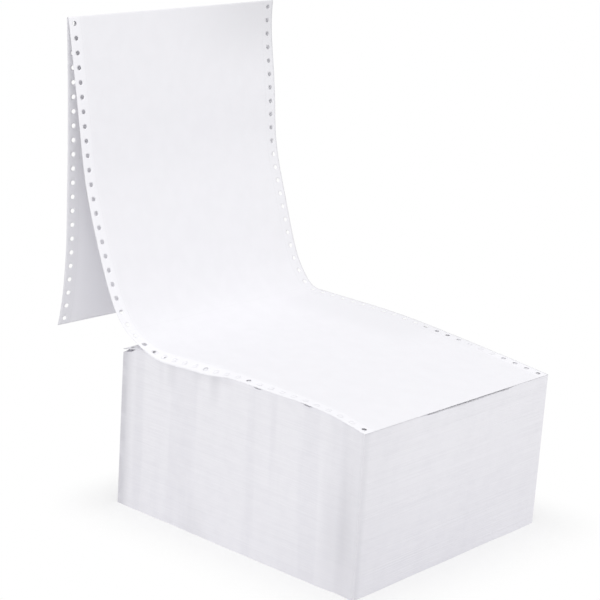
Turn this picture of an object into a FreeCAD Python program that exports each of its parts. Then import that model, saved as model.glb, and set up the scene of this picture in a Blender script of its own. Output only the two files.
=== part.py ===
import FreeCAD, Part
import math
import os

from FreeCAD import Vector

# A stack of continuous form paper: one web of paper, fan-folded at every page into a block.
# The last two pages are drawn up off the stack: one rises, and the other hangs behind it from the top fold.
# X runs across the web, Y from the front folds to the back folds, Z up.
# The origin is the middle of the underside. Sizes are in millimetres, and slopes in degrees above level.

# The form, as it is punched and folded. A page is a whole number of holes long.
HOLE_PITCH = 12.7
HOLES_PER_PAGE = 22
HOLE_DIAMETER = 4.0
HOLE_TO_EDGE = 6.0
WEB_WIDTH = 241.3
WEB_THICKNESS = 0.07

# The closed stack stands higher in the middle than at its folds.
STACK_HEIGHT = 139.2  # at the front folds
BACK_RISE = 3.5  # how much higher the back folds stand
CROWN = 7.4  # rise of the top over a straight line from the front to the back

# The uppermost pair of folded pages stands clear of the rest at each end, over a slit.
FOLD_NOSE = 0.5  # thickness of the pair at its rounded fold
SLIT_ROOT = 0.25  # height of a slit at its closed end
FRONT_SLIT_HEIGHT = 1.2
FRONT_SLIT_DEPTH = 34.0
BACK_SLIT_HEIGHT = 1.6
BACK_SLIT_DEPTH = 27.0

# The web drawn up. Each stretch of the rise has its length and the slope that it reaches.
LIFTED_HOLES = 5  # holes of the uppermost page that are off the stack
LIFT_SLOPE = 1.0
RISE = (
    (46.0, 11.5),
    (40.0, 61.0),
    (33.0, 70.5),
    (64.0, 70.5),
    (36.0, 82.0),
)
TOP_SLOPE = 82.0
TOP_FOLD_RADIUS = 1.0

# The page that hangs from the top fold.
HANG_SLOPE = -90.5
HANG_STRAIGHT = 170.0
FREE_END_SLOPE = -77.0

# The punches. The corner holes of the stack locate it and are round.
# All other punches have flat sides, which leaves a hole at most 0.1 mm off round and keeps the model light.
PUNCH_SIDES = 10
PUNCH_REACH = 0.2  # how far a punch cuts past each face of the web
BASE_REACH = 1.0  # how far a punch cuts past the underside of the stack

PAGE_LENGTH = HOLES_PER_PAGE * HOLE_PITCH
HALF_LENGTH = PAGE_LENGTH / 2
HALF_WIDTH = WEB_WIDTH / 2
FOLD_TO_HOLE = HOLE_PITCH / 2
HOLE_LINE = HALF_WIDTH - HOLE_TO_EDGE
LIFT_OFF = HALF_LENGTH - LIFTED_HOLES * HOLE_PITCH  # where the page leaves the stack, along Y


def heading(slope):
    """Unit vector along the web, where it has this slope."""
    angle = math.radians(slope)
    return Vector(0, math.cos(angle), math.sin(angle))


def face_normal(slope):
    """Unit vector out of the web's upper face, where it has this slope."""
    return heading(slope + 90)


class Stretch:
    """A length of the web with an even bend or none, followed along its upper face."""

    def __init__(self, start, slope, length, end_slope):
        self.start = start
        self.slope = slope
        self.length = length
        self.end_slope = end_slope

    def slope_at(self, along):
        return self.slope + (self.end_slope - self.slope) * along / self.length

    def point_at(self, along, depth=0.0):
        """Point this far along the stretch and this deep below its upper face."""
        slope = self.slope_at(along)
        half_turn = math.radians(slope - self.slope) / 2
        chord = along * math.sin(half_turn) / half_turn if half_turn else along
        surface = self.start + heading((self.slope + slope) / 2) * chord
        return surface - face_normal(slope) * depth

    def end(self, depth=0.0):
        return self.point_at(self.length, depth)

    def edge(self, depth=0.0):
        """Arc or straight edge along the stretch, this deep below its upper face."""
        if self.slope == self.end_slope:
            return Part.makeLine(self.point_at(0, depth), self.end(depth))
        middle = self.point_at(self.length / 2, depth)
        return Part.Arc(self.point_at(0, depth), middle, self.end(depth)).toShape()

    def follow(self, length, end_slope):
        """The next stretch of the web, tangent to this one."""
        return Stretch(self.end(), self.end_slope, length, end_slope)


def stack_top(y, depth=0.0):
    """Point on the stack's top at this distance from its middle, or this deep below it."""
    from_front = (y + HALF_LENGTH) / PAGE_LENGTH
    crown = CROWN * (1 - (y / HALF_LENGTH) ** 2)
    return Vector(0, y, STACK_HEIGHT + BACK_RISE * from_front + crown - depth)


def raised_web():
    """The stretches of web from the stack up to the top fold, over it and down to the free end."""
    web = [Stretch(stack_top(LIFT_OFF), LIFT_SLOPE, *RISE[0])]
    for length, slope in RISE[1:]:
        web.append(web[-1].follow(length, slope))
    rise = sum(length for length, slope in RISE)
    outer_radius = TOP_FOLD_RADIUS + WEB_THICKNESS
    fold = outer_radius * math.radians(TOP_SLOPE - HANG_SLOPE)
    lifted = LIFTED_HOLES * HOLE_PITCH
    web.append(web[-1].follow(lifted + PAGE_LENGTH - rise - fold / 2, TOP_SLOPE))
    web.append(web[-1].follow(fold, HANG_SLOPE))
    web.append(web[-1].follow(HANG_STRAIGHT, HANG_SLOPE))
    web.append(web[-1].follow(PAGE_LENGTH - HANG_STRAIGHT - fold / 2, FREE_END_SLOPE))
    return web


def sprung_fold(outward, depth, slit_height, slit_depth):
    """Edges of one end of the stack, from its top face down round the sprung pair of pages to its lip.

    outward is -1 at the front and 1 at the back, and depth is that of the pair's upper face.
    """
    end = outward * HALF_LENGTH
    radius = FOLD_NOSE / 2
    high = stack_top(end - outward * radius, depth)
    tip = Vector(0, end, high.z - radius)
    low = high - Vector(0, 0, FOLD_NOSE)
    root_high = stack_top(end - outward * slit_depth, depth + FOLD_NOSE)
    root_low = root_high - Vector(0, 0, SLIT_ROOT)
    lip = Vector(0, end, low.z - slit_height)
    edges = [
        Part.Arc(high, tip, low).toShape(),
        Part.makeLine(low, root_high),
        Part.makeLine(root_high, root_low),
        Part.makeLine(root_low, lip),
    ]
    return high, edges, lip


def section(web):
    """Closed outline of the whole web, seen along its folds."""
    front_high, front, front_lip = sprung_fold(-1, 0.0, FRONT_SLIT_HEIGHT, FRONT_SLIT_DEPTH)
    back_high, back, back_lip = sprung_fold(1, WEB_THICKNESS, BACK_SLIT_HEIGHT, BACK_SLIT_DEPTH)
    lift_off = stack_top(LIFT_OFF)
    under_lift_off = web[0].point_at(0, WEB_THICKNESS)
    top_middle = stack_top((LIFT_OFF - HALF_LENGTH) / 2)
    back_middle = stack_top((LIFT_OFF + HALF_LENGTH) / 2, WEB_THICKNESS)
    front_foot = Vector(0, -HALF_LENGTH, 0)
    back_foot = Vector(0, HALF_LENGTH, 0)
    free_end = web[-1]

    edges = [Part.Arc(front_high, top_middle, lift_off).toShape()]
    edges += [stretch.edge() for stretch in web]
    edges.append(Part.makeLine(free_end.end(), free_end.end(WEB_THICKNESS)))
    edges += [stretch.edge(WEB_THICKNESS) for stretch in web]
    edges.append(Part.Arc(under_lift_off, back_middle, back_high).toShape())
    edges += back
    edges.append(Part.makeLine(back_lip, back_foot))
    edges.append(Part.makeLine(back_foot, front_foot))
    edges.append(Part.makeLine(front_foot, front_lip))
    edges += front
    return Part.Wire(Part.__sortEdges__(edges))


def on_web(web, along):
    """Point on the upper face and slope there, this far along the web from where it leaves the stack."""
    for stretch in web:
        if along <= stretch.length:
            return stretch.point_at(along), stretch.slope_at(along)
        along -= stretch.length
    return web[-1].end(), web[-1].end_slope


def both_margins(punch):
    """The punch, made on the plane X = 0, on the hole line of each margin."""
    return [punch.translated(Vector(side * HOLE_LINE, 0, 0)) for side in (-1, 1)]


def round_punch(foot, slope, length):
    """Round punch, standing on its foot square to a face of this slope."""
    return Part.makeCylinder(HOLE_DIAMETER / 2, length, foot, face_normal(slope))


def flat_sided_punch(foot, slope, length):
    """Punch whose corners lie on the round one's wall, standing on its foot in the same way."""
    corners = []
    for corner in range(PUNCH_SIDES + 1):
        angle = 2 * math.pi * corner / PUNCH_SIDES
        across = Vector(math.cos(angle), 0, 0)
        along = heading(slope) * math.sin(angle)
        corners.append(foot + (across + along) * (HOLE_DIAMETER / 2))
    return Part.Face(Part.makePolygon(corners)).extrude(face_normal(slope) * length)


def stack_punches(web):
    """Punches for the holes that line up through the stack, stopped short of the raised web."""
    punches = []
    for number in range(HOLES_PER_PAGE):
        y = -HALF_LENGTH + FOLD_TO_HOLE + number * HOLE_PITCH
        top = stack_top(y).z + PUNCH_REACH
        if y > LIFT_OFF:
            above, slope = on_web(web, y - LIFT_OFF)
            top = (stack_top(y).z + above.z) / 2 - WEB_THICKNESS
        at_corner = number in (0, HOLES_PER_PAGE - 1)
        make_punch = round_punch if at_corner else flat_sided_punch
        punches += both_margins(make_punch(Vector(0, y, -BASE_REACH), 0, top + BASE_REACH))
    return punches


def web_punches(web):
    """Punches square to the raised web, for the holes of its three pages."""
    punches = []
    for number in range(LIFTED_HOLES + 2 * HOLES_PER_PAGE):
        point, slope = on_web(web, FOLD_TO_HOLE + number * HOLE_PITCH)
        foot = point - face_normal(slope) * (WEB_THICKNESS + PUNCH_REACH)
        punches += both_margins(flat_sided_punch(foot, slope, WEB_THICKNESS + 2 * PUNCH_REACH))
    return punches


def continuous_form():
    """The whole web, folded and raised, as one solid with its sprocket holes."""
    web = raised_web()
    outline = section(web)
    outline.translate(Vector(-HALF_WIDTH, 0, 0))
    folded = Part.Face(outline).extrude(Vector(WEB_WIDTH, 0, 0))
    return folded.cut(stack_punches(web) + web_punches(web))


os.makedirs("parts", exist_ok=True)
form = continuous_form()
form.exportStep("parts/continuous_form.step")
box = form.BoundBox
print("solids", len(form.Solids), "valid", form.isValid(), "volume cm3", round(form.Volume / 1000, 2))
print("box", [round(size, 2) for size in (box.XMin, box.XMax, box.YMin, box.YMax, box.ZMin, box.ZMax)])
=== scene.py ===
import math

import bpy
import numpy as np
from mathutils import Matrix, Vector


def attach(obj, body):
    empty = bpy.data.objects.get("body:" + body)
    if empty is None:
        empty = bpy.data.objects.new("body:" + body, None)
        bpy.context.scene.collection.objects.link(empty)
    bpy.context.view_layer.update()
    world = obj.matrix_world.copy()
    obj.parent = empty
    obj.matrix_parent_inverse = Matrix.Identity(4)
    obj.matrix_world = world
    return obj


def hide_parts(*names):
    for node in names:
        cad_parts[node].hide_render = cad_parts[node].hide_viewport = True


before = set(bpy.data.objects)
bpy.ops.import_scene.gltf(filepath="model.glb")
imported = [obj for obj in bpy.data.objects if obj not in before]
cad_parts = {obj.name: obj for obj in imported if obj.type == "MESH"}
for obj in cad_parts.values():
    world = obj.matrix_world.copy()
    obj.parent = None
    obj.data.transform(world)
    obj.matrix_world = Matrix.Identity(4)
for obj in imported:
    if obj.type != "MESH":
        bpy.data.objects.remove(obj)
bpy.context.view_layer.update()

bl_info = {
    "name": "Continuous Form Paper",
    "version": (1, 0, 0),
    "blender": (4, 5, 0),
    "location": "View3D > Sidebar > Form Paper",
    "description": "A fan-folded stack of tractor-feed paper with its last pages drawn up",
    "category": "Add Mesh",
}

BODY = "root"
CAD_NODE = "continuous_form"
FACE_PAPER = "bond_paper_face"
# Names under which a mesh keeps the places that its material reads.
PAPER_PLACE, STRAIGHT_PLACE = "along_paper", "straight_place"

# How the meshes are divided: squares along each side of a hole's cell, and the rings
# round the hole as shares of the way from the cell's outline to the hole.
CELL_STEPS = 6
RING_POSITIONS = (0.40, 0.75, 1.00)
# Columns between the two margins, of a sheet and of the stack's caps.
SHEET_COLUMNS, CAP_COLUMNS = 36, 24
# Rows at the top fold, at the folds of the stack and where the web bends up.
FOLD_ROWS, NOSE_ROWS, BEND_ROWS = 12, 10, 4
# How far from a fold the cells beside it end, in hole pitches.
FOLD_CLEARANCE = 0.16
# Edges are shaded as sharp where two faces turn by more than this.
SHARP_ANGLE = math.radians(40)

# Slope of the drawn-up web's two side edges, read at lengths counted in hole
# pitches from the front fold of the top page. Each pair is a length and the
# angle above the level, in degrees.
LEFT_EDGE = (
    (-1, 191), (-0.01, 191), (0.01, 11), (2, 10.5), (3.5, 4.5), (6, 2),
    (10, 0.5), (14, -1.5), (17.5, -3), (18.7, 0), (19.6, 9), (20.5, 19),
    (21.4, 27), (22.5, 44), (23, 51), (24, 60), (25, 64), (26.5, 68),
    (28, 68.5), (31, 72), (33, 77), (35, 81), (38, 81), (41, 80.5),
    (43.88, 79), (44.12, -92), (48, -91.5), (52, -90), (59, -89.5),
    (61, -85.5), (63, -83), (66, -74),
)
RIGHT_EDGE = (
    (-1, 187), (-0.01, 187), (0.01, 7), (5, 6), (10, 5.5), (13, 3.5),
    (16, 1), (21.3, 1), (22.6, 46), (24, 57), (25, 66), (26, 70), (27, 72),
    (31, 72.5), (33, 78), (35, 86), (37, 85), (39.5, 82), (41, 83),
    (43.88, 94.5), (44.12, -62), (44.6, -84), (45.5, -91), (46.5, -95),
    (48, -98), (49, -97.5), (50.5, -95.5), (52, -94.5), (54, -94.5),
    (55, -91), (56.5, -89.5), (59, -89), (61, -85.5), (63, -83), (66, -74),
)
# How finely the slopes are added up, where the top page ends and where its margin
# stops drooping, in hole pitches.
SLOPE_STEP, TOP_PAGE_END, DROOP_END = 0.002, 22.5, 21.5

# The left margin turns down by this angle, times shares that come or go between two
# places along the stack.
DROOP_ANGLE = math.radians(21)
DROOP_SHARES = ((0.28, -0.085, -0.030), (0.72, 0.006, 0.040), (-1.0, 0.084, 0.128))
# How much higher the back right corner of the stack stands than its back left.
BACK_RIGHT_RISE = 0.002

# Where the top page arches off the pages under it: two places along the stack, the
# fade beside them and a share of the height.
ARCH_HEIGHT = 0.0013
LEFT_ARCHES = (
    (-0.1340, -0.1280, 0.0045, 1.0), (-0.0095, -0.0005, 0.0060, 0.6),
    (0.0420, 0.0480, 0.0060, 0.4),
)
RIGHT_ARCHES = ((-0.1340, -0.0920, 0.0045, 0.5),)

# Gaps under the left edge of the top page: their height, places and fade.
EDGE_GAP = 0.0016
EDGE_GAPS = ((-0.0800, -0.0755, 0.0045), (-0.0240, -0.0195, 0.0045))
# Places across the stack where the slit under the top fold opens and closes.
SLIT_OPENS, SLIT_CLOSES = (-0.050, -0.037), (0.060, 0.074)
# Shares of the stack's height from which layers take on its top's droop and slits.
DROOP_FROM, SLITS_FROM = 0.70, 0.93

# Depth of the two under pages and of the stack's top below the top page.
UPPER_SHEET, LOWER_SHEET, STACK_TOP = 0.00016, 0.00026, 0.00032
# The under pages' back fold: its radius, how far its upper page has sprung up, and
# the places along the stack between which it springs.
BACK_FOLD_RADIUS, SPRUNG_UP, SPRUNG_PLACES = 0.00025, 0.00030, (0.085, 0.132)
# How far behind the front fold their creep is full.
CREEP_FADE = 0.022

# Ripples of the free web, which grow between two lengths along it. Each has a height
# and the steps of its lattice across and along.
RIPPLE_GROWTH = (0.250, 0.330)
RIPPLES = ((0.00035, 0.075, 0.110), (0.00012, 0.028, 0.034))

# How far the foot stands out at the left of the back, and in at the right of the
# front, and the share of the left side's splay that it has at its back.
BACK_LEAN, FRONT_LEAN, SPLAY_AT_BACK = 0.0018, 0.0035, 0.55
# Unevenness of the stack's walls, laid out over this height. Each row has the steps
# of a lattice along and up the wall, and its depth on the cut sides and folded ends.
WALL_HEIGHT, WALLS_APART = 0.145, 2.0
WALL_NOISE = (
    (0.0110, 0.110, 0.00025, 0.00007),  # upright streaks
    (0.0042, 0.050, 0.00010, 0.0),  # fine upright streaks
    (0.060, 0.0009, 0.000035, 0.00006),  # level ridges
    (0.140, 0.0065, 0.00004, 0.00012),  # bundles of sheets
    (0.045, 0.035, 0.00025, 0.00040),  # slow waves
)
# Depth of each row of sheets by itself, and how near a corner the rest fades out.
CUT_ROW_DEPTH, FOLD_ROW_DEPTH, CORNER_FADE = 0.000012, 0.00003, 0.010
# A shallow upright groove in the left side: its place from the front, its width, its
# depth at the foot and the share of it at the top.
GROOVE_PLACE, GROOVE_WIDTH, GROOVE_DEPTH, GROOVE_AT_TOP = 0.0195, 0.0090, 0.0013, 0.45

# The cuts of the tear-off lines and page folds: half the length of a cut and a tie
# together, and where the tie fades into the cut.
CUT_SPACING, CUT_START = 0.0008, (0.00018, 0.00030)
# Streaks of painted shade on the left side under the drooping margin: place along the
# stack, height of the lower end, and strength.
SHADE_STREAKS = ((0.078, 0.112, 0.32), (0.047, 0.126, 0.20), (0.026, 0.112, 0.36))

# The floor: half its side, the lines of its grid each way, how far it lies under the
# paper, and how far from the stack it turns white.
FLOOR_HALF, FLOOR_LINES, FLOOR_DEPTH, FLOOR_FADE = 6.0, 13, 0.00005, 0.070
LAMP_DIRECTION, LAMP_ANGLE = (-0.42, -0.36, 0.83), math.radians(80)


# ---- settings

def length(name, description, default):
    """A length property in metres."""
    return bpy.props.FloatProperty(
        name=name, description=description, default=default, unit="LENGTH",
        subtype="DISTANCE", precision=5)


def angle(name, description, degrees):
    """An angle property, whose default is given in degrees."""
    return bpy.props.FloatProperty(
        name=name, description=description, default=math.radians(degrees), subtype="ANGLE")


def number(name, description, default):
    """A whole number property."""
    return bpy.props.IntProperty(name=name, description=description, default=default)


def colour(name, description, default):
    """A linear colour property."""
    return bpy.props.FloatVectorProperty(
        name=name, description=description, default=default, size=3,
        min=0.0, max=1.0, subtype="COLOR")


class FormPaperSizes(bpy.types.PropertyGroup):
    """Sizes of the paper itself, which are standard for continuous forms."""

    hole_pitch: length("Hole pitch", "Between two sprocket holes", 0.0127)
    hole_diameter: length("Hole diameter", "Of each sprocket hole", 0.004)
    hole_to_edge: length("Hole to edge", "From a hole's middle to the side edge", 0.006)
    margin: length("Margin strip", "From the side edge to the tear-off line", 0.0127)
    web_width: length("Web width", "From side edge to side edge", 0.2413)
    thickness: length("Thickness", "Of one sheet", 0.00008)
    holes_per_page: number("Holes a page", "Sprocket holes along each margin of a page", 22)


class FormStackSizes(bpy.types.PropertyGroup):
    """Sizes of the closed stack."""

    front_left: length("Front left height", "Top page above the table there", 0.1390)
    front_right: length("Front right height", "Top page above the table there", 0.1383)
    back_height: length("Back height", "Stack above the table at its back folds", 0.1425)
    left_crown: length("Left crown", "Rise of the stack's middle at the left", 0.0088)
    right_crown: length("Right crown", "Rise of the stack's middle at the right", 0.0090)
    front_slit: length("Front slit", "Greatest height of the slit under the top fold", 0.0019)
    corner_slit: length("Corner slit", "Height of the slit at the back left corner", 0.0024)
    lean: length("Lean", "How far the right front edge leans in at its foot", 0.0015)
    splay: length("Splay", "How far the left front edge stands out at its foot", 0.0045)
    creep: length("Creep", "How far the pages under the top page have slid forward", 0.0042)
    layers: number("Layers", "Rows of folded paper that are modelled", 396)
    seed: number("Seed", "Start of the random unevenness", 11)


class FormColours(bpy.types.PropertyGroup):
    """Colours of the paper and the stage, as linear values."""

    face: colour("Paper face", "Uncoated white bond", (0.902, 0.897, 0.930))
    # The edge and its shade are darker than the face: painted shade between the sheets.
    edge: colour("Paper edge", "Cut edges and folds seen together", (0.885, 0.878, 0.915))
    shade: colour("Edge shade", "Between the sheets of the stack", (0.775, 0.767, 0.815))
    floor: colour("Floor", "Pale studio floor", (0.86, 0.86, 0.86))


class FormStage(bpy.types.PropertyGroup):
    """Camera and light."""

    azimuth: angle("Azimuth", "Camera's turn round the upright axis", -47.629)
    elevation: angle("Elevation", "Camera above the horizon", 15.400)
    roll: angle("Roll", "Camera's turn about its own axis", 2.392)
    distance: length("Distance", "From the aim point to the camera", 1.6295)
    aim_height: length("Aim height", "Of the aim point above the table", 0.200)
    slide_right: length("Slide right", "Camera's slide in its own plane", -0.0330)
    slide_up: length("Slide up", "Camera's slide in its own plane", -0.0039)
    lens: bpy.props.FloatProperty(
        name="Lens", description="Focal length in millimetres", default=113.71,
        subtype="DISTANCE_CAMERA")
    sky: bpy.props.FloatProperty(
        name="Sky", description="Strength of the even light all round", default=0.76)
    lamp: bpy.props.FloatProperty(
        name="Lamp", description="Strength of the soft overhead light", default=0.98)


# ---- small shapes

def eased(x, start, end):
    """Smooth step from 0 at start to 1 at end: t squared times three minus two t."""
    t = np.clip((x - start) / (end - start), 0.0, 1.0)
    return t * t * (3.0 - 2.0 * t)


def between(x, start, end, fade):
    """1 between start and end, falling smoothly to 0 over fade on either side."""
    return eased(x, start - fade, start) * (1.0 - eased(x, end, end + fade))


def between_all(x, rows):
    """The sum of several such stretches, each a start, an end, a fade and a share."""
    return sum(share * between(x, start, end, fade) for start, end, fade, share in rows)


def smooth_noise(rng, x, y, step_x, step_y):
    """Random heights from -1 to 1 on a lattice with the given steps, joined between
    lattice points by the smooth step in both directions."""
    i, j = x / step_x, y / step_y
    i0, j0 = np.floor(i).astype(int), np.floor(j).astype(int)
    low_i, low_j = i0.min(), j0.min()
    lattice = rng.uniform(-1, 1, (i0.max() - low_i + 2, j0.max() - low_j + 2))
    s, t = eased(i - i0, 0, 1), eased(j - j0, 0, 1)
    a, b = i0 - low_i, j0 - low_j
    near = lattice[a, b] * (1 - s) + lattice[a + 1, b] * s
    far = lattice[a, b + 1] * (1 - s) + lattice[a + 1, b + 1] * s
    return near * (1 - t) + far * t


def grid_faces(grid):
    """Four-sided faces between the neighbouring rows and columns of point numbers."""
    return np.stack([grid[:-1, :-1], grid[:-1, 1:], grid[1:, 1:], grid[1:, :-1]], -1)


def ring_faces(rings):
    """Four-sided faces between each closed ring of point numbers and the next one."""
    after = np.roll(rings, -1, axis=-1)
    return np.stack([rings[:-1], after[:-1], after[1:], rings[1:]], -1).reshape(-1, 4)


def run_of(values, kind=np.float32):
    """All the values of an array in one run, as Blender's own arrays take them."""
    return np.ascontiguousarray(values, kind).ravel()


def make_mesh(name, points, quads, uv=None, straight=None):
    """A mesh object at the origin from whole arrays of points and four-sided faces.

    uv is each point's place across and along the paper, and straight is where the
    point would be if the stack didn't lean. The materials read them.
    """
    mesh = bpy.data.meshes.new(name)
    mesh.vertices.add(len(points))
    mesh.vertices.foreach_set("co", run_of(points))
    mesh.loops.add(quads.size)
    mesh.loops.foreach_set("vertex_index", run_of(quads, np.int32))
    mesh.polygons.add(len(quads))
    mesh.polygons.foreach_set("loop_start", np.arange(0, quads.size, 4, dtype=np.int32))
    mesh.polygons.foreach_set("use_smooth", np.ones(len(quads), bool))
    mesh.update(calc_edges=True)
    if mesh.validate():
        raise RuntimeError(f"{name} has faces that Blender had to mend")
    if uv is not None:
        layer = mesh.uv_layers.new(name=PAPER_PLACE)
        layer.data.foreach_set("uv", run_of(uv[quads.ravel()]))
    if straight is not None:
        place = mesh.attributes.new(STRAIGHT_PLACE, "FLOAT_VECTOR", "POINT")
        place.data.foreach_set("vector", run_of(straight))
    piece = bpy.data.objects.new(name, mesh)
    bpy.context.scene.collection.objects.link(piece)
    return piece


def punched_grid(sizes, main_columns, lines_v, first_rows, centres_v):
    """A flat web with a round hole in each margin cell.

    The web is a grid of straight lines across and along. In each margin, a block of
    CELL_STEPS by CELL_STEPS squares round every hole is left out, and rings of points
    fill it instead: each ring is a share of the way from the block's outline to the
    circle of the hole, which is hole centre plus radius times cosine and sine.
    Returns the points (across, along), the faces, the outline of every hole and the
    outline of the whole web, the last two as point numbers in turn.
    """
    half, margin = sizes.web_width / 2, sizes.margin
    strip = np.linspace(-half, -half + margin, CELL_STEPS + 1)
    main = np.linspace(-half + margin, half - margin, main_columns + 1)[1:-1]
    lines_u = np.concatenate([strip, main, -strip[::-1]])
    nu, nv = len(lines_u), len(lines_v)
    grid = np.arange(nu * nv).reshape(nv, nu)
    points = np.stack(np.meshgrid(lines_u, lines_v), -1).reshape(-1, 2)

    step = np.arange(CELL_STEPS)
    keep = np.ones((nv - 1, nu - 1), bool)
    columns = np.array([0, nu - 1 - CELL_STEPS])[:, None]
    rows = first_rows[:, None, None, None] + step[:, None]
    keep[rows, columns[:, None] + step] = False
    plain = grid_faces(grid)[keep]

    zero, full = np.zeros(CELL_STEPS, int), np.full(CELL_STEPS, CELL_STEPS)
    down_rows = np.concatenate([zero, step, full, CELL_STEPS - step])
    over_columns = np.concatenate([step, full, CELL_STEPS - step, zero])
    around = len(down_rows)
    outer = grid[first_rows[:, None, None] + down_rows, columns + over_columns]
    outer = outer.reshape(-1, around)
    hole_u = np.array([-half + sizes.hole_to_edge, half - sizes.hole_to_edge])
    centre = np.stack([np.tile(hole_u, len(centres_v)), np.repeat(centres_v, 2)], -1)
    # The circle starts towards the same corner as the block's outline.
    turn = -0.75 * np.pi + 2 * np.pi * np.arange(around) / around
    circle = np.stack([np.cos(turn), np.sin(turn)], -1) * sizes.hole_diameter / 2
    circle = centre[:, None] + circle
    share = np.array(RING_POSITIONS)[:, None, None, None]
    rings = points[outer] * (1 - share) + circle * share
    numbers = len(points) + np.arange(rings[..., 0].size).reshape(rings.shape[:3])
    loops = np.concatenate([outer[None], numbers])

    points = np.concatenate([points, rings.reshape(-1, 2)])
    quads = np.concatenate([plain, ring_faces(loops)])
    rim = np.concatenate([grid[0, :-1], grid[:-1, -1], grid[-1, :0:-1], grid[:0:-1, 0]])
    used = np.unique(quads)
    renumber = np.full(len(points), -1)
    renumber[used] = np.arange(len(used))
    return points[used], renumber[quads], renumber[loops[-1]], renumber[rim]


def page_rows(sizes, first_hole, holes, folds):
    """Cross lines for a run of holes. Every hole's cell is one pitch long and has
    CELL_STEPS rows. Beside a fold, named by the hole after it, the two cells end
    a little short of it and finer rows fill the gap. Returns the lines, the first
    row of every cell and the middle of every hole."""
    pitch = sizes.hole_pitch
    clear = FOLD_CLEARANCE * pitch
    ends = (np.arange(holes + 1) + first_hole) * pitch
    low, high = ends[:-1].copy(), ends[1:].copy()
    gaps = {hole - first_hole: rows for hole, rows in folds}
    for i in gaps:
        high[i - 1] -= clear
        low[i] += clear
    share = np.arange(CELL_STEPS + 1) / CELL_STEPS
    cells = low[:, None] + (high - low)[:, None] * share
    lines, first_rows, count = [low[:1]], [], 1
    for i in range(holes):
        if i in gaps:
            lines.append(np.linspace(high[i - 1], low[i], gaps[i] + 1)[1:])
            count += gaps[i]
        first_rows.append(count - 1)
        lines.append(cells[i, 1:])
        count += CELL_STEPS
    centres = (np.arange(holes) + first_hole + 0.5) * pitch
    return np.concatenate(lines), np.array(first_rows), centres


# ---- web path

class SideEdge:
    """One side edge of the drawn-up web, seen from the side.

    The slope is read between the listed lengths, and the place along it is the
    running sum of the slope's cosine and sine, from the nose of the front fold.
    """

    def __init__(self, slopes, pitch, start_y, start_z):
        table = np.array(slopes, float)
        self.top_end = TOP_PAGE_END * pitch
        self.v = np.arange(table[0, 0], table[-1, 0], SLOPE_STEP) * pitch
        self.slope = np.radians(np.interp(self.v, table[:, 0] * pitch, table[:, 1]))
        self.y = start_y + self.running_sum(np.cos(self.slope))
        self.z = start_z + self.running_sum(np.sin(self.slope))

    def running_sum(self, f):
        """The sum of f over the length, by trapezia, counted from the front fold."""
        total = np.concatenate([[0], np.cumsum((f[1:] + f[:-1]) / 2 * np.diff(self.v))])
        return total - np.interp(0, self.v, total)

    def at(self, v):
        """Place (y, z) and slope at a length along the web."""
        return (np.interp(v, self.v, self.y), np.interp(v, self.v, self.z),
                np.interp(v, self.v, self.slope))

    def height(self, y):
        """Height of the top page over a place y on the stack."""
        top = (self.v > 0.0) & (self.v < self.top_end)
        return np.interp(y, self.y[top], self.z[top])


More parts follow.
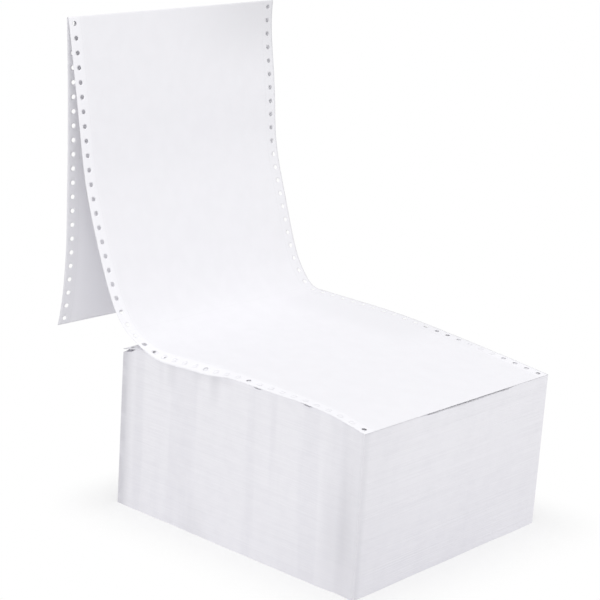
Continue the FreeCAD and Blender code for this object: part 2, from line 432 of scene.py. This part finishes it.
class Shape:
    """The surfaces that the pieces share: the web's path and the top of the stack."""

    def __init__(self, sizes, stack):
        self.sizes, self.stack = sizes, stack
        self.page = sizes.holes_per_page * sizes.hole_pitch
        self.half_y, self.half_x = self.page / 2, sizes.web_width / 2
        self.left = SideEdge(LEFT_EDGE, sizes.hole_pitch, -self.half_y, stack.front_left)
        self.right = SideEdge(RIGHT_EDGE, sizes.hole_pitch, -self.half_y, stack.front_right)

    def across(self, x):
        """0 at the left edge and 1 at the right edge."""
        return (x + self.half_x) / (2 * self.half_x)

    def droop(self, x, y):
        """How far the left margin hangs: it turns down at the tear-off line, by 6
        degrees along the middle of the page and 21 degrees further back."""
        beyond = np.maximum(0, -x - (self.half_x - self.sizes.margin))
        amount = sum(share * eased(y, start, end) for share, start, end in DROOP_SHARES)
        return beyond * math.tan(DROOP_ANGLE) * amount

    def crown(self, x, y):
        """The stack's own top: a straight line from front to back and on it a crown,
        one minus the place to the fourth power at the left, squared at the right."""
        t = (y + self.half_y) / (2 * self.half_y)
        s = y / self.half_y
        stack = self.stack
        back_right = stack.back_height + BACK_RIGHT_RISE
        left = (stack.front_left + (stack.back_height - stack.front_left) * t
                + stack.left_crown * (1 - s ** 4))
        right = (stack.front_right + (back_right - stack.front_right) * t
                 + stack.right_crown * (1 - s ** 2))
        share = self.across(x)
        return left * (1 - share) + right * share

    def top_page(self, x, y):
        """Height of the top page: straight across between its two side edges."""
        share = self.across(x)
        return self.left.height(y) * (1 - share) + self.right.height(y) * share

    def arch(self, x, y):
        """How far the top page stands off the pages under it, inside its side edges,
        which stay down. It lies close but for a few places: on the left behind its
        front fold, near its middle and at two thirds of its length, and on the right
        behind its front fold."""
        inside = eased(self.half_x - np.abs(x), 0.0005, 0.0050)
        at_right = eased(x, -0.020, 0.020)
        left, right = between_all(y, LEFT_ARCHES), between_all(y, RIGHT_ARCHES)
        return ARCH_HEIGHT * inside * (left * (1 - at_right) + right * at_right)

    def layer(self, x, y, below):
        """A sheet or the stack's top that lies the given distance below the top page
        where the page rests, and on the crown where the page has lifted."""
        rest = np.minimum(self.top_page(x, y), self.crown(x, y))
        return rest - below - self.droop(x, y) - self.arch(x, y)

    def front_dip(self, x, y):
        """Slit under the top fold: a dip from left of the middle to near the right,
        which opens at once at its left end and closes slowly at its right."""
        wide = eased(x, *SLIT_OPENS) * (1 - eased(x, *SLIT_CLOSES))
        uneven = 0.86 + 0.14 * np.sin(x * 95.0 + 0.6)
        deep = 1 - eased(y, -self.half_y + 0.006, -self.half_y + 0.034)
        return self.stack.front_slit * wide * uneven * deep

    def edge_dips(self, x, y):
        """Two short gaps under the left edge of the top page."""
        inward = 1 - eased(x, -self.half_x + 0.002, -self.half_x + 0.022)
        return EDGE_GAP * inward * sum(between(y, *gap) for gap in EDGE_GAPS)

    def corner_dip(self, x, y):
        """Slit at the back left corner, under the two sheets that have sprung up."""
        inward = 1 - eased(x, -self.half_x + 0.002, -self.half_x + 0.012)
        back = eased(y, self.half_y - 0.016, self.half_y - 0.010)
        return self.stack.corner_slit * inward * back


# ---- materials

class Nodes:
    """The node tree of a material or a world. Each value that goes into a node is
    another node's socket or a number."""

    def __init__(self, owner):
        owner.use_nodes = True
        self.tree = owner.node_tree
        self.tree.nodes.clear()

    def feed(self, socket, value):
        if isinstance(value, bpy.types.NodeSocket):
            self.tree.links.new(value, socket)
        else:
            socket.default_value = value

    def add(self, kind, inputs):
        """A node of this kind. Its inputs are given by name or by number."""
        node = self.tree.nodes.new("ShaderNode" + kind)
        for name, value in inputs.items():
            self.feed(node.inputs[name], value)
        return node

    def split(self, vector):
        """The three parts of a vector."""
        parts = self.add("SeparateXYZ", {"Vector": vector}).outputs
        return parts["X"], parts["Y"], parts["Z"]

    def math(self, operation, *values):
        node = self.add("Math", dict(enumerate(values)))
        node.operation = operation
        return node.outputs[0]

    def product(self, first, *others):
        for other in others:
            first = self.math("MULTIPLY", first, other)
        return first

    def total(self, first, *others):
        for other in others:
            first = self.math("ADD", first, other)
        return first

    def away(self, value, place=0.0):
        """How far a value is from a place, to either side."""
        return self.math("ABSOLUTE", self.math("SUBTRACT", value, place))

    def noise(self, vector, stretch, detail, roughness):
        """Noise with its own stretch along each axis, as features per metre."""
        mapping = self.add("Mapping", {"Vector": vector, "Scale": stretch})
        return self.add("TexNoise", {
            "Vector": mapping.outputs["Vector"], "Scale": 1.0, "Detail": detail,
            "Roughness": roughness}).outputs["Fac"]

    def ranged(self, value, low, high, to_low, to_high):
        """Maps a value from one range to another, smoothly and without overshoot."""
        node = self.add("MapRange", {
            "Value": value, "From Min": low, "From Max": high, "To Min": to_low,
            "To Max": to_high})
        node.interpolation_type = "SMOOTHSTEP"
        return node.outputs["Result"]

    def blend(self, factor, first, second):
        """A mix of two colours, each a socket or an RGB value."""
        node = self.add("Mix", {"Factor": factor})
        node.data_type = "RGBA"
        for name, value in (("A", first), ("B", second)):
            socket = [s for s in node.inputs if s.name == name and s.type == "RGBA"][0]
            is_socket = isinstance(value, bpy.types.NodeSocket)
            self.feed(socket, value if is_socket else (*value, 1.0))
        return [s for s in node.outputs if s.type == "RGBA"][0]

    def bump(self, height, distance, strength, normal=None):
        """Relief of this height, on top of another normal if one is given."""
        node = self.add("Bump", {
            "Height": height, "Distance": distance, "Strength": strength})
        if normal is not None:
            self.feed(node.inputs["Normal"], normal)
        return node.outputs["Normal"]

    def matt(self, colour_value, roughness, specular):
        """A Principled shader for something that isn't polished."""
        return self.add("BsdfPrincipled", {
            "Base Color": colour_value, "Roughness": roughness,
            "Specular IOR Level": specular})

    def white_light(self, kind, strength):
        """An Emission or a Background that is white."""
        inputs = {"Color": (1.0, 1.0, 1.0, 1.0), "Strength": strength}
        return self.add(kind, inputs).outputs[0]

    def seen(self):
        """1 for what the camera sees, straight, mirrored or through something."""
        rays = self.add("LightPath", {}).outputs
        seen = self.math("MAXIMUM", rays["Is Camera Ray"], rays["Is Glossy Ray"])
        return self.math("MAXIMUM", seen, rays["Is Transmission Ray"])

    def mixed(self, factor, first, second):
        """A mix of two shaders."""
        return self.add("MixShader", {0: factor, 1: first, 2: second}).outputs["Shader"]


def paper_finish(nodes, base, relief):
    """The finish of uncoated paper, the same all over."""
    shader = nodes.matt(base, roughness=0.82, specular=0.22)
    nodes.feed(shader.inputs["Normal"], relief)
    nodes.add("OutputMaterial", {"Surface": shader.outputs["BSDF"]})


def shaded(colour_value, factor):
    return tuple(c * factor for c in colour_value)


def face_material(name, sizes, colours):
    """Uncoated bond: cloudy fibres, a tooth of fine bumps, and the cuts of the two
    tear-off lines and the page folds, with painted light and shade on some pages and
    margins. It is laid out by the place across the paper, u, and the length along it, v."""
    material = bpy.data.materials.new(name)
    nodes = Nodes(material)
    ranged, product, blend = nodes.ranged, nodes.product, nodes.blend
    where = nodes.add("UVMap", {})
    where.uv_map = PAPER_PLACE
    vector = where.outputs["UV"]
    u, v, _ = nodes.split(vector)
    face = tuple(colours.face)
    pitch = sizes.hole_pitch
    page = sizes.holes_per_page * pitch
    tear_line = sizes.web_width / 2 - sizes.margin

    cloud = nodes.noise(vector, (70, 55, 1), 4.0, 0.55)
    fleck = nodes.noise(vector, (900, 700, 1), 2.0, 0.5)
    base = blend(ranged(cloud, 0.3, 0.7, 0, 1), shaded(face, 0.985), face)
    base = blend(ranged(fleck, 0.25, 0.45, 0.35, 0), base, shaded(face, 0.955))
    # The margin strips are a little paler than the writing area: painted light. The page
    # that hangs down at the back is paler than the others, painted light for light through
    # the paper, but its margins are duller: painted shade.
    hanging = nodes.math("GREATER_THAN", v, 2 * page)
    base = blend(product(hanging, 0.8), base, shaded(face, 1.05))
    strip = ranged(nodes.away(u), tear_line - 0.0045, tear_line + 0.0045, 0, 0.9)
    strip_colour = blend(hanging, shaded(face, 1.04), shaded(face, 0.98))
    # Painted shade: the right margin is duller from where it lifts off, and so is the page
    # beside it up to the bend.
    lifted = product(ranged(u, 0, 0.02, 0, 1), ranged(v, 3.5 * pitch, 7 * pitch, 0, 1))
    strip_colour = blend(lifted, strip_colour, shaded(face, 0.985))
    beside = product(
        ranged(v, 8 * pitch, 11 * pitch, 0, 1), ranged(v, 20 * pitch, 24 * pitch, 1, 0),
        ranged(u, 0.050, 0.085, 0, 1))
    base = blend(strip, base, strip_colour)
    base = blend(beside, base, shaded(face, 0.958))
    # Painted shade beside the right end of the drawn-up page's fold, which is greyer there.
    painted_fold_shade = product(
        ranged(v, 2 * page - 0.078, 2 * page - 0.006, 0, 0.8),
        ranged(u, -0.02, 0.118, 0, 1), nodes.math("SUBTRACT", 1.0, hanging))
    base = blend(painted_fold_shade, base, shaded(face, 0.86))

    def cuts(from_line, along, near, far, depth):
        """Short cuts with ties between them, where a line is nearer than near."""
        dash = ranged(nodes.math("PINGPONG", along, CUT_SPACING), *CUT_START, 0, 1)
        return product(ranged(from_line, near, far, depth, 0), dash)

    # Tear-off lines run along both margins. Page folds run across at every whole
    # page, and are fainter.
    tear_off = cuts(nodes.away(nodes.away(u), tear_line), v, 0.00006, 0.00016, 1)
    fold = cuts(nodes.math("PINGPONG", v, page / 2), u, 0.00008, 0.00022, 0.5)
    cut = nodes.math("MAXIMUM", tear_off, fold)
    # The cuts are painted darker: painted shade inside the slits.
    base = blend(product(cut, 0.35), base, shaded(face, 0.72))

    tooth = nodes.noise(vector, (2600, 2100, 1), 3.0, 0.6)
    relief = nodes.bump(tooth, distance=0.00003, strength=0.5)
    uncut = nodes.math("SUBTRACT", 1.0, cut)
    relief = nodes.bump(uncut, distance=0.00008, strength=0.7, normal=relief)
    paper_finish(nodes, base, relief)
    return material


def stack_material(name, colours):
    """Cut edges and folds of many sheets: level lines of uneven length and depth, painted
    shade between the sheets; broad soft upright bands, painted shade of the streaks in the
    walls; a faint mottle; and patches of painted shade, by each point's place before the
    stack's lean."""
    material = bpy.data.materials.new(name)
    nodes = Nodes(material)
    ranged, product, total, away = nodes.ranged, nodes.product, nodes.total, nodes.away
    where = nodes.add("Attribute", {})
    where.attribute_name = STRAIGHT_PLACE
    vector = where.outputs["Vector"]
    x, y, z = nodes.split(vector)
    edge, shade = tuple(colours.edge), tuple(colours.shade)

    lines = nodes.noise(vector, (14, 14, 1500), 4.0, 0.62)
    bundles = nodes.noise(vector, (9, 9, 260), 3.0, 0.5)
    mottle = nodes.noise(vector, (90, 90, 120), 3.0, 0.55)
    uprights = nodes.noise(vector, (60, 60, 4), 2.0, 0.45)
    # Upright bands of painted shade, for the streaks in the walls, show on the cut sides
    # and hardly on the folded ends.
    on_side = ranged(away(x), 0.1185, 0.1200, 0.25, 1)
    upright = product(ranged(uprights, 0.36, 0.52, 0.31, 0.05), on_side)
    # Painted shade: the folded ends are a little darker towards the foot.
    foot = product(ranged(z, 0.0, 0.12, 0.5, 0), nodes.math("SUBTRACT", 1.25, on_side),
                   ranged(x, 0.0, 0.12, 1.0, 0.62))
    mix = total(ranged(lines, 0.35, 0.62, 0.16, 0), ranged(bundles, 0.38, 0.62, 0.09, 0),
                ranged(mottle, 0.30, 0.60, 0.14, 0), upright, foot)
    base = nodes.blend(nodes.math("MINIMUM", mix, 1.0), edge, shade)

    # A soft band of painted shade over the groove stands near the front end of the left
    # side, with a darker core. It is strongest low down, but fades at the very foot.
    bands = product(
        total(ranged(away(y, -0.1200), 0.007, 0.027, 0.40, 0),
              ranged(away(y, -0.1235), 0.000, 0.010, 0.26, 0)),
        ranged(z, 0.05, 0.135, 1.0, 0.30), ranged(z, 0.0, 0.05, 0.45, 1))
    front_end = ranged(y, -0.1350, -0.1260, 0.17, 0)
    # Painted shade: the foot is darker along the front half, and in a patch near the back.
    low_front = product(ranged(z, 0.0, 0.075, 0.16, 0), ranged(y, -0.085, -0.010, 1, 0.15))
    low_patch = product(ranged(z, 0.0, 0.045, 0.22, 0),
                        ranged(away(y, 0.046), 0.004, 0.020, 1, 0))
    # Painted shade: towards its back corner the side darkens twice, and the corner itself
    # has a narrow uneven line.
    corner_noise = nodes.noise(vector, (40, 40, 60), 2.0, 0.5)
    corner = product(ranged(y, 0.1310, 0.1380, 0, 0.42),
                     ranged(corner_noise, 0.35, 0.65, 0.3, 1.7))
    bands = total(bands, front_end, low_front, low_patch, corner,
                  ranged(y, 0.1030, 0.1200, 0, 0.10), ranged(y, 0.1240, 0.1340, 0, 0.46))
    # Painted shade: under the drooping margin the top of the side is darker, with soft
    # streaks that run down from it.
    under = product(ranged(y, 0.000, 0.015, 0, 1), ranged(y, 0.095, 0.110, 1, 0),
                    ranged(z, 0.1370, 0.1445, 0, 0.24))
    bands = total(bands, under)
    for place, lower_end, strength in SHADE_STREAKS:
        bands = total(bands, product(ranged(away(y, place), 0.0010, 0.0090, 1, 0),
                                     ranged(z, lower_end, 0.142, 0, strength)))
    bands = product(ranged(x, -0.118, -0.112, 1, 0), bands)
    # Painted shade: the front folds are a little darker towards the same corner.
    front = product(ranged(y, -0.1380, -0.1360, 1, 0), ranged(x, -0.120, -0.030, 0.13, 0))
    bands = nodes.math("MINIMUM", total(bands, front), 1.0)
    base = nodes.blend(bands, base, shaded(shade, 0.85))
    paper_finish(nodes, base, nodes.bump(lines, distance=0.00010, strength=0.3))
    return material


# ---- pieces

def settle(piece):
    """Every piece rides on the one body and stands for the CAD paper."""
    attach(piece, BODY)
    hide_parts(CAD_NODE)


def add_thickness(piece, thickness):
    """Gives a single surface its sheet thickness, half to each side."""
    wall = piece.modifiers.new("sheet_thickness", "SOLIDIFY")
    wall.thickness = thickness
    wall.offset = 0.0
    wall.use_rim = True
    wall.use_even_offset = True


def settings(context):
    """The properties of the paper, the stack, the colours and the stage."""
    scene = context.scene
    return scene.form_paper, scene.form_stack, scene.form_colours, scene.form_stage


class MESH_OT_form_raised_web(bpy.types.Operator):
    """Adds the top page and the two pages drawn up from it, as one unbroken sheet"""

    bl_idname = "mesh.form_raised_web"
    bl_label = "Raised web"

    def execute(self, context):
        """Across by along the web is carried onto two side edges: each point is a
        share of the way from the left edge to the right edge at the same length.
        A slow ripple moves it along the sheet's own normal, and the left margin
        turns down by its droop."""
        sizes, stack, colours, _ = settings(context)
        shape = Shape(sizes, stack)
        holes, pitch = sizes.holes_per_page, sizes.hole_pitch
        folds = ((0, NOSE_ROWS), (holes, BEND_ROWS), (2 * holes, FOLD_ROWS))
        rows = page_rows(sizes, -1, 3 * holes + 1, folds)
        flat, quads, _, _ = punched_grid(sizes, SHEET_COLUMNS, *rows)
        u, v = flat[:, 0], flat[:, 1]
        share = shape.across(u)
        (yl, zl, sl), (yr, zr, sr) = shape.left.at(v), shape.right.at(v)
        slope = sl * (1 - share) + sr * share
        y, z = yl * (1 - share) + yr * share, zl * (1 - share) + zr * share

        rng = np.random.default_rng(stack.seed)
        free = eased(v, *RIPPLE_GROWTH)
        # The top fold stays nearly straight.
        top_fold = 2 * holes * pitch
        steady = 1 - 0.85 * between(v, top_fold - 0.004, top_fold + 0.004, 0.02)
        ripple = sum(height * smooth_noise(rng, u, v, step_u, step_v) * free * steady
                     for height, step_u, step_v in RIPPLES)
        y, z = y - np.sin(slope) * ripple, z + np.cos(slope) * ripple

        resting = between(v, 0.0, DROOP_END * pitch, 0.001)
        z = z - shape.droop(u, y) * resting
        piece = make_mesh("raised_web", np.stack([u, y, z], -1), quads, flat)
        add_thickness(piece, sizes.thickness)
        piece.data.materials.append(face_material(FACE_PAPER, sizes, colours))
        settle(piece)
        return {"FINISHED"}


class MESH_OT_form_under_pages(bpy.types.Operator):
    """Adds the two pages that lie under the top page, joined by their back fold"""

    bl_idname = "mesh.form_under_pages"
    bl_label = "Pages under the top page"

    def execute(self, context):
        """Along the web, the first page runs back under the top page, goes down
        round a half circle at the back fold, and the second page runs forward
        under it. Between their folds both have slid forward a little. Height
        is the stack's top plus each page's own gap, which opens towards the back
        fold where the two have sprung apart."""
        sizes, stack, colours, _ = settings(context)
        shape = Shape(sizes, stack)
        holes = sizes.holes_per_page
        rows = page_rows(sizes, 1, 2 * holes - 1, ((holes, NOSE_ROWS),))
        flat, quads, _, _ = punched_grid(sizes, SHEET_COLUMNS, *rows)
        u, v = flat[:, 0], flat[:, 1]
        radius = BACK_FOLD_RADIUS
        quarter = radius * np.pi / 2
        turn = np.clip((v - shape.page) / (radius * np.pi) + 0.5, 0, 1) * np.pi
        run = v - np.clip(v, shape.page - quarter, shape.page + quarter)
        y = shape.half_y - radius + np.where(run < 0, run, -run) + radius * np.sin(turn)
        upper = (1 + np.cos(turn)) / 2
        sprung = eased(y, *SPRUNG_PLACES)
        behind_front = eased(y, -shape.half_y, -shape.half_y + CREEP_FADE)
        y = y - stack.creep * (1 - sprung) * behind_front
        gap = UPPER_SHEET * (1 - sprung) - SPRUNG_UP * sprung
        z = shape.layer(u, y, 0.0) - gap * upper - LOWER_SHEET * (1 - upper)
        z = z - (1 - upper) * (shape.front_dip(u, y) + shape.edge_dips(u, y))
        piece = make_mesh("under_pages", np.stack([u, y, z], -1), quads[:, ::-1], flat)
        add_thickness(piece, sizes.thickness)
        piece.data.materials.append(bpy.data.materials[FACE_PAPER])
        settle(piece)
        return {"FINISHED"}


def stack_heights(shape, share, x, y):
    """Height of a layer at its share of the stack: that share of the crown, less the
    droop and arches near the top and the slits close under it."""
    top = shape.crown(x, y)
    flat_under = top - shape.layer(x, y, STACK_TOP)
    slits = shape.front_dip(x, y) + shape.edge_dips(x, y) + shape.corner_dip(x, y)
    drooping, slit = eased(share, DROOP_FROM, 1.0), eased(share, SLITS_FROM, 1.0)
    return share * top - drooping * flat_under - slit * slits


def leaned(shape, share, x, y):
    """Moves the points of a layer as the stack leans towards its foot: the left side
    outwards, most at its front, and the front of the right side inwards; the left
    of the back outwards and the right of the front inwards. Each amount grows
    evenly from the middle of the stack to that side or end, and from top to foot."""
    along, aside = np.clip(y / shape.half_y, -1, 1), np.clip(x / shape.half_x, -1, 1)
    stack, front = shape.stack, 0.5 - 0.5 * along
    splay = stack.splay * (SPLAY_AT_BACK + (1 - SPLAY_AT_BACK) * front)
    over = splay * np.maximum(-aside, 0) + stack.lean * front * np.maximum(aside, 0)
    backward = (BACK_LEAN * (0.5 - 0.5 * aside) * np.maximum(along, 0)
                + FRONT_LEAN * (0.5 + 0.5 * aside) * np.maximum(-along, 0))
    return x - over * (1 - share), y + backward * (1 - share)


def stack_walls(shape, rng, share, x, y):
    """Where the sides of the stack lie, layer by layer. On the cut sides: upright
    streaks that fade in and out, level ridges and a slow unevenness. On the
    folded ends: a rounded ridge for each bundle of folds."""
    half_x, half_y = shape.half_x, shape.half_y
    height = share * WALL_HEIGHT
    cut_side, folded_end = np.isclose(np.abs(x), half_x), np.isclose(np.abs(y), half_y)
    # The place along the wall, with sides and ends too far apart to share noise.
    place = np.where(folded_end & ~cut_side, x, y + WALLS_APART)
    cut, folds = 0.0, 0.0
    for step_along, step_up, cut_depth, fold_depth in WALL_NOISE:
        noise = smooth_noise(rng, place, height, step_along, step_up)
        cut, folds = cut + cut_depth * noise, folds + fold_depth * noise
    rows = rng.uniform(-1, 1, share.shape[0])[:, None]

    groove = np.exp(-((y + half_y - GROOVE_PLACE) / GROOVE_WIDTH) ** 2)
    groove = groove * (GROOVE_AT_TOP + (1 - GROOVE_AT_TOP) * (1 - share))
    cut = cut - GROOVE_DEPTH * groove * (x < 0)
    # Both fade out at the corners, which stay straight but for the rows.
    cut = cut * eased(half_y - np.abs(y), 0.0, CORNER_FADE) + CUT_ROW_DEPTH * rows
    folds = folds * eased(half_x - np.abs(x), 0.0, CORNER_FADE) + FOLD_ROW_DEPTH * rows
    x = x + np.sign(x) * np.where(cut_side, cut, 0)
    y = y + np.sign(y) * np.where(folded_end, folds, 0)
    return x, y


class MESH_OT_form_stack(bpy.types.Operator):
    """Adds the closed stack in three lifts, with its two rows of holes right through"""

    bl_idname = "mesh.form_stack"
    bl_label = "Closed stack"

    def execute(self, context):
        """Each lift is closed: a punched sheet above and below, a bore between each
        pair of holes, and walls of many rows, one for each bundle of sheets. A row
        is the outline of the page moved by the walls' unevenness. Then all lean."""
        sizes, stack, colours, _ = settings(context)
        shape = Shape(sizes, stack)
        rows = page_rows(sizes, 0, sizes.holes_per_page, ())
        flat, quads, bores, rim = punched_grid(sizes, CAP_COLUMNS, *rows)
        x, y = flat[:, 0], flat[:, 1] - shape.half_y
        layers = stack.layers
        share = (np.arange(layers + 1) / layers)[:, None]
        rng = np.random.default_rng(stack.seed + 1)
        ring_x, ring_y = np.tile(x[rim], (layers + 1, 1)), np.tile(y[rim], (layers + 1, 1))
        side_x, side_y = stack_walls(shape, rng, share, ring_x, ring_y)
        side_z = stack_heights(shape, share, ring_x, ring_y)
        walls = np.stack([side_x, side_y, side_z], -1)
        material = stack_material("paper_edges", colours)

        names = ("stack_lower", "stack_middle", "stack_upper")
        cuts = np.linspace(0, layers, len(names) + 1).astype(int)
        # The rows beside a cut repeat it, so that the shading runs on across it.
        for beside in (-1, 1):
            walls[cuts[1:-1] + beside, :, :2] = walls[cuts[1:-1], :, :2]
        count, around = len(flat), len(rim)
        next_bore = np.roll(bores, -1, axis=1)
        inside = np.stack([bores, bores + count, next_bore + count, next_bore], -1)
        for name, low, high in zip(names, cuts[:-1], cuts[1:]):
            caps = []
            for row in (low, high):
                cap = np.stack([x, y, stack_heights(shape, share[row, 0], x, y)], -1)
                cap[rim] = walls[row]
                caps.append(cap)
            between_caps = walls[low + 1:high].reshape(-1, 3)
            straight = np.concatenate([*caps, between_caps])
            level = np.concatenate([
                np.repeat(share[[low, high], 0], count),
                np.repeat(share[low + 1:high, 0], around)])
            points = straight.copy()
            points[:, 0], points[:, 1] = leaned(shape, level, straight[:, 0], straight[:, 1])
            inner = 2 * count + np.arange(len(between_caps)).reshape(-1, around)
            outside = ring_faces(np.concatenate([rim[None], inner, rim[None] + count]))
            faces = np.concatenate([
                quads[:, ::-1], quads + count, outside, inside.reshape(-1, 4)])
            piece = make_mesh(name, points, faces, straight=straight)
            piece.data.materials.append(material)
            piece.data.set_sharp_from_angle(angle=SHARP_ANGLE)
            settle(piece)
        return {"FINISHED"}


# ---- stage

def stage_floor(colours, half_x, half_y):
    """A level floor of one metre squares, out to where the camera no longer sees it."""
    line = np.linspace(-FLOOR_HALF, FLOOR_HALF, FLOOR_LINES)
    x, y = np.meshgrid(line, line)
    points = np.stack([x, y, np.full_like(x, -FLOOR_DEPTH)], -1).reshape(-1, 3)
    quads = grid_faces(np.arange(x.size).reshape(x.shape)).reshape(-1, 4)
    floor = make_mesh("studio_floor", points, quads)
    material = bpy.data.materials.new("studio_floor_paint")
    nodes = Nodes(material)
    paint = nodes.matt((*colours.floor, 1.0), roughness=0.9, specular=0.1)
    # Away from the paper the floor shows as plain white to the camera. The distance
    # is taken from the stack's own outline, so the soft shadow at its foot stays.
    aside, along, _ = nodes.split(nodes.add("TexCoord", {}).outputs["Object"])
    past_side, past_end = (
        nodes.math("MAXIMUM", nodes.math("SUBTRACT", nodes.away(place), half), 0.0)
        for place, half in ((aside, half_x), (along, half_y)))
    distance = nodes.math("SQRT", nodes.total(
        nodes.product(past_side, past_side), nodes.product(past_end, past_end)))
    far = nodes.ranged(distance, 0.0, FLOOR_FADE, 0.50, 1)
    surface = nodes.mixed(nodes.product(far, nodes.seen()), paint.outputs["BSDF"],
                          nodes.white_light("Emission", 1.0))
    nodes.add("OutputMaterial", {"Surface": surface})
    floor.data.materials.append(material)


def stage_world(strength):
    """Even light all round, which shows as white behind the paper."""
    world = bpy.data.worlds.new("studio_world")
    bpy.context.scene.world = world
    nodes = Nodes(world)
    light = nodes.white_light("Background", strength)
    white = nodes.white_light("Background", 1.0)
    nodes.add("OutputWorld", {"Surface": nodes.mixed(nodes.seen(), light, white)})


def stage_lamp(strength):
    """One very soft lamp, high and a little to the front left."""
    data = bpy.data.lights.new("overhead_softbox", "SUN")
    data.energy = strength
    data.angle = LAMP_ANGLE
    lamp = bpy.data.objects.new("overhead_softbox", data)
    lamp.rotation_mode = "QUATERNION"
    lamp.rotation_quaternion = Vector(LAMP_DIRECTION).to_track_quat("Z", "Y")
    bpy.context.scene.collection.objects.link(lamp)


def stage_camera(stage):
    """The camera looks along a line turned by azimuth and elevation, rolled about it,
    from the given distance, after a slide in its own plane."""
    a, e, r = stage.azimuth, stage.elevation, stage.roll
    back = Vector((math.sin(a) * math.cos(e), -math.cos(a) * math.cos(e), math.sin(e)))
    level = Vector((math.cos(a), math.sin(a), 0.0))
    above = back.cross(level)
    right = level * math.cos(r) + above * math.sin(r)
    up = above * math.cos(r) - level * math.sin(r)
    place = (Vector((0, 0, stage.aim_height)) + right * stage.slide_right
             + up * stage.slide_up + back * stage.distance)
    data = bpy.data.cameras.new("studio_camera")
    data.lens = stage.lens
    data.sensor_width = 36.0
    data.clip_start, data.clip_end = 0.05, 50.0
    camera = bpy.data.objects.new("studio_camera", data)
    turn = Matrix((right, up, back)).transposed().to_4x4()
    camera.matrix_world = Matrix.Translation(place) @ turn
    bpy.context.scene.collection.objects.link(camera)
    bpy.context.scene.camera = camera


class SCENE_OT_form_stage(bpy.types.Operator):
    """Adds the floor, the light all round, the soft lamp and the camera"""

    bl_idname = "scene.form_stage"
    bl_label = "Studio stage"

    def execute(self, context):
        sizes, _, colours, stage = settings(context)
        page = sizes.holes_per_page * sizes.hole_pitch
        stage_floor(colours, sizes.web_width / 2, page / 2)
        stage_world(stage.sky)
        stage_lamp(stage.lamp)
        stage_camera(stage)
        context.scene.view_settings.view_transform = "Standard"
        return {"FINISHED"}


class VIEW3D_PT_form_paper(bpy.types.Panel):
    """Lists the pieces and their sizes"""

    bl_idname = "VIEW3D_PT_form_paper"
    bl_label = "Form paper"
    bl_space_type = "VIEW_3D"
    bl_region_type = "UI"
    bl_category = "Form Paper"

    def draw(self, context):
        for operator in OPERATORS:
            self.layout.operator(operator.bl_idname, text=operator.bl_label)
        for name in GROUPS:
            box = self.layout.box()
            group = getattr(context.scene, name)
            for key in group.bl_rna.properties.keys():
                if key not in ("rna_type", "name"):
                    box.prop(group, key)


GROUPS = {
    "form_paper": FormPaperSizes,
    "form_stack": FormStackSizes,
    "form_colours": FormColours,
    "form_stage": FormStage,
}
OPERATORS = (
    SCENE_OT_form_stage,
    MESH_OT_form_raised_web,
    MESH_OT_form_under_pages,
    MESH_OT_form_stack,
)


def register():
    for cls in (*GROUPS.values(), *OPERATORS, VIEW3D_PT_form_paper):
        bpy.utils.register_class(cls)
    for name, cls in GROUPS.items():
        setattr(bpy.types.Scene, name, bpy.props.PointerProperty(type=cls))


def unregister():
    for name in GROUPS:
        delattr(bpy.types.Scene, name)
    for cls in (VIEW3D_PT_form_paper, *OPERATORS[::-1], *list(GROUPS.values())[::-1]):
        bpy.utils.unregister_class(cls)


def main():
    register()
    bpy.ops.scene.form_stage()
    bpy.ops.mesh.form_raised_web()
    bpy.ops.mesh.form_under_pages()
    bpy.ops.mesh.form_stack()
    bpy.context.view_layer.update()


if __name__ == "__main__":
    main()
